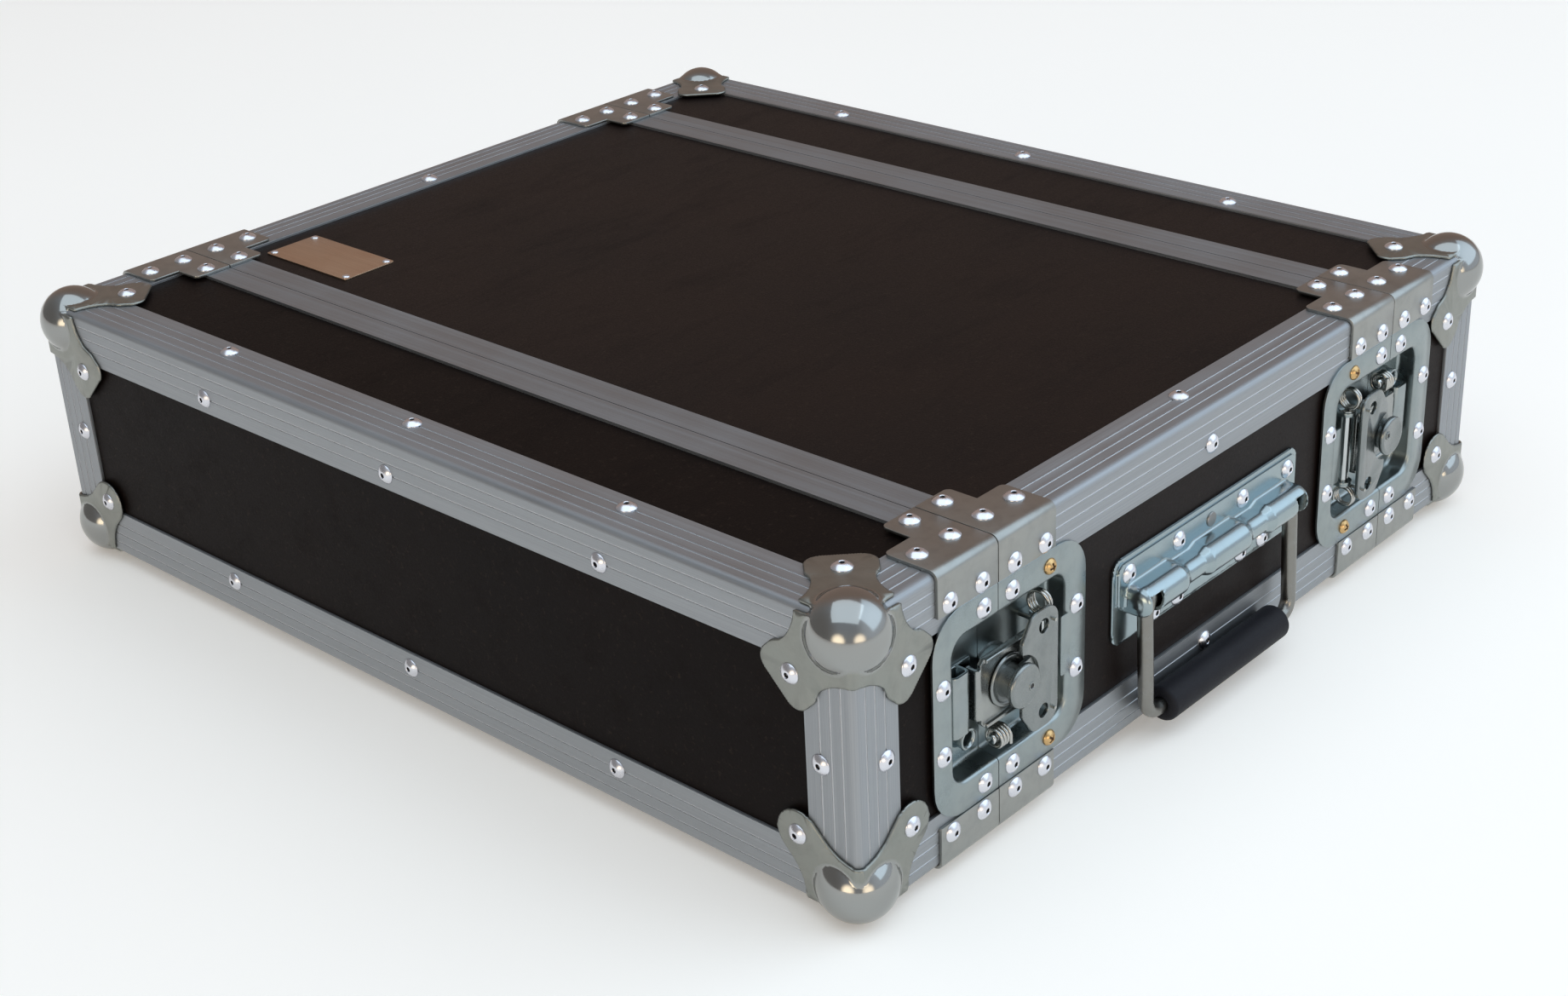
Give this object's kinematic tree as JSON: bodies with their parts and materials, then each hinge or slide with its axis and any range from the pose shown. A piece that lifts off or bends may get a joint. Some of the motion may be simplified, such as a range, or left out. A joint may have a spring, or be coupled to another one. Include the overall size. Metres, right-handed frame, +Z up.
{
  "type": "rack case",
  "caption": "Low road case for rack equipment: open sleeve with two lift-off lids, aluminium edges, ball corners, recessed turn latches, bail handles and rack rails.",
  "frame": {"origin": "middle of the base, on the plane that the ball corners stand on", "axes": "+X to the right side with the front lid facing -Y, +Z up"},
  "size_m": [0.5636, 0.486, 0.145],
  "materials": {
    "laminate": "birch plywood under a smooth black phenolic film",
    "edge_aluminium": "clear anodised extrusion with fine bright lines",
    "seam_aluminium": "clear anodised extrusion",
    "brace_zinc": "zinc plated pressed sheet",
    "corner_zinc": "bright zinc plated pressed sheet",
    "dish_zinc": "zinc plated deep drawn sheet",
    "keeper_zinc": "zinc plated bent sheet",
    "hook_zinc": "zinc plated pressed plate",
    "wing_zinc": "zinc plated plate and turned post",
    "handle_zinc": "bright zinc plated pressed sheet",
    "bail_steel": "zinc plated round rod",
    "grip_rubber": "matte moulded rubber",
    "rail_steel": "zinc plated rail",
    "bolt_steel": "plated bolt heads",
    "axle_steel": "plated rod",
    "spring_steel": "spring wire",
    "plate_aluminium": "bare blank plate",
    "rivet_metal": "bright domed rivet heads",
    "screw_brass": "brass coloured screw heads"
  },
  "bodies": {
    "case_body": {"body_top_panel": "laminate", "body_bottom_panel": "laminate", "body_right_panel": "laminate", "body_left_panel": "laminate", "body_edge_profiles": "edge_aluminium", "front_tongue_frame": "seam_aluminium", "rear_tongue_frame": "seam_aluminium", "body_front_braces": "brace_zinc", "body_rear_braces": "brace_zinc", "rack_rail_front_right": "rail_steel", "rack_rail_front_left": "rail_steel", "rack_rail_rear_right": "rail_steel", "rack_rail_rear_left": "rail_steel", "rail_bolts": "bolt_steel", "latch_dish_front_right": "dish_zinc", "latch_dish_front_left": "dish_zinc", "latch_dish_rear_right": "dish_zinc", "latch_dish_rear_left": "dish_zinc", "latch_axles": "axle_steel", "latch_springs": "spring_steel", "handle_plate_right": "handle_zinc", "handle_plate_left": "handle_zinc", "name_plate": "plate_aluminium", "body_rivets": "rivet_metal", "latch_screws": "screw_brass"},
    "front_lid": {"front_lid_panel": "laminate", "front_lid_rim": "laminate", "front_lid_edge_profiles": "edge_aluminium", "front_lid_groove_frame": "seam_aluminium", "front_lid_braces": "brace_zinc", "front_lid_ball_corners": "corner_zinc", "front_lid_dish_right": "dish_zinc", "front_lid_dish_left": "dish_zinc", "front_lid_keeper_right": "keeper_zinc", "front_lid_keeper_left": "keeper_zinc", "front_lid_rivets": "rivet_metal"},
    "rear_lid": {"rear_lid_panel": "laminate", "rear_lid_rim": "laminate", "rear_lid_edge_profiles": "edge_aluminium", "rear_lid_groove_frame": "seam_aluminium", "rear_lid_braces": "brace_zinc", "rear_lid_ball_corners": "corner_zinc", "rear_lid_dish_right": "dish_zinc", "rear_lid_dish_left": "dish_zinc", "rear_lid_keeper_right": "keeper_zinc", "rear_lid_keeper_left": "keeper_zinc", "rear_lid_rivets": "rivet_metal"},
    "hook_front_right": {"latch_hook_front_right": "hook_zinc"},
    "wing_front_right": {"latch_wing_front_right": "wing_zinc"},
    "hook_front_left": {"latch_hook_front_left": "hook_zinc"},
    "wing_front_left": {"latch_wing_front_left": "wing_zinc"},
    "hook_rear_right": {"latch_hook_rear_right": "hook_zinc"},
    "wing_rear_right": {"latch_wing_rear_right": "wing_zinc"},
    "hook_rear_left": {"latch_hook_rear_left": "hook_zinc"},
    "wing_rear_left": {"latch_wing_rear_left": "wing_zinc"},
    "bail_right": {"handle_bail_right": "bail_steel", "handle_grip_right": "grip_rubber"},
    "bail_left": {"handle_bail_left": "bail_steel", "handle_grip_left": "grip_rubber"}
  },
  "joints": [
    {"name": "front_lid_slide", "type": "slide", "parent": "case_body", "child": "front_lid", "axis": [0, -1, 0], "range_m": [0, 0.12]},
    {"name": "rear_lid_slide", "type": "slide", "parent": "case_body", "child": "rear_lid", "axis": [0, 1, 0], "range_m": [0, 0.12]},
    {"name": "wing_front_right_turn", "type": "hinge", "parent": "case_body", "child": "wing_front_right", "pos_m": [0.265, -0.1442, 0.0725], "axis": [1, 0, 0], "range_deg": [0, 180]},
    {"name": "hook_front_right_slide", "type": "slide", "parent": "case_body", "child": "hook_front_right", "axis": [0, -1, 0], "range_m": [0, 0.0024]},
    {"name": "wing_front_left_turn", "type": "hinge", "parent": "case_body", "child": "wing_front_left", "pos_m": [-0.265, -0.1442, 0.0725], "axis": [1, 0, 0], "range_deg": [0, 180]},
    {"name": "hook_front_left_slide", "type": "slide", "parent": "case_body", "child": "hook_front_left", "axis": [0, -1, 0], "range_m": [0, 0.0024]},
    {"name": "wing_rear_right_turn", "type": "hinge", "parent": "case_body", "child": "wing_rear_right", "pos_m": [0.265, 0.1442, 0.0725], "axis": [-1, 0, 0], "range_deg": [0, 180]},
    {"name": "hook_rear_right_slide", "type": "slide", "parent": "case_body", "child": "hook_rear_right", "axis": [0, 1, 0], "range_m": [0, 0.0024]},
    {"name": "wing_rear_left_turn", "type": "hinge", "parent": "case_body", "child": "wing_rear_left", "pos_m": [-0.265, 0.1442, 0.0725], "axis": [-1, 0, 0], "range_deg": [0, 180]},
    {"name": "hook_rear_left_slide", "type": "slide", "parent": "case_body", "child": "hook_rear_left", "axis": [0, 1, 0], "range_m": [0, 0.0024]},
    {"name": "bail_right_swing", "type": "hinge", "parent": "case_body", "child": "bail_right", "pos_m": [0.2713, 0, 0.0725], "axis": [0, -1, 0], "range_deg": [0, 90]},
    {"name": "bail_left_swing", "type": "hinge", "parent": "case_body", "child": "bail_left", "pos_m": [-0.2713, 0, 0.0725], "axis": [0, 1, 0], "range_deg": [0, 90]}
  ],
  "couplings": [
    {"joint": "hook_front_right_slide", "follows": "wing_front_right_turn", "m_per_rad": 0.00076394},
    {"joint": "hook_front_left_slide", "follows": "wing_front_left_turn", "m_per_rad": 0.00076394},
    {"joint": "hook_rear_right_slide", "follows": "wing_rear_right_turn", "m_per_rad": 0.00076394},
    {"joint": "hook_rear_left_slide", "follows": "wing_rear_left_turn", "m_per_rad": 0.00076394}
  ]
}
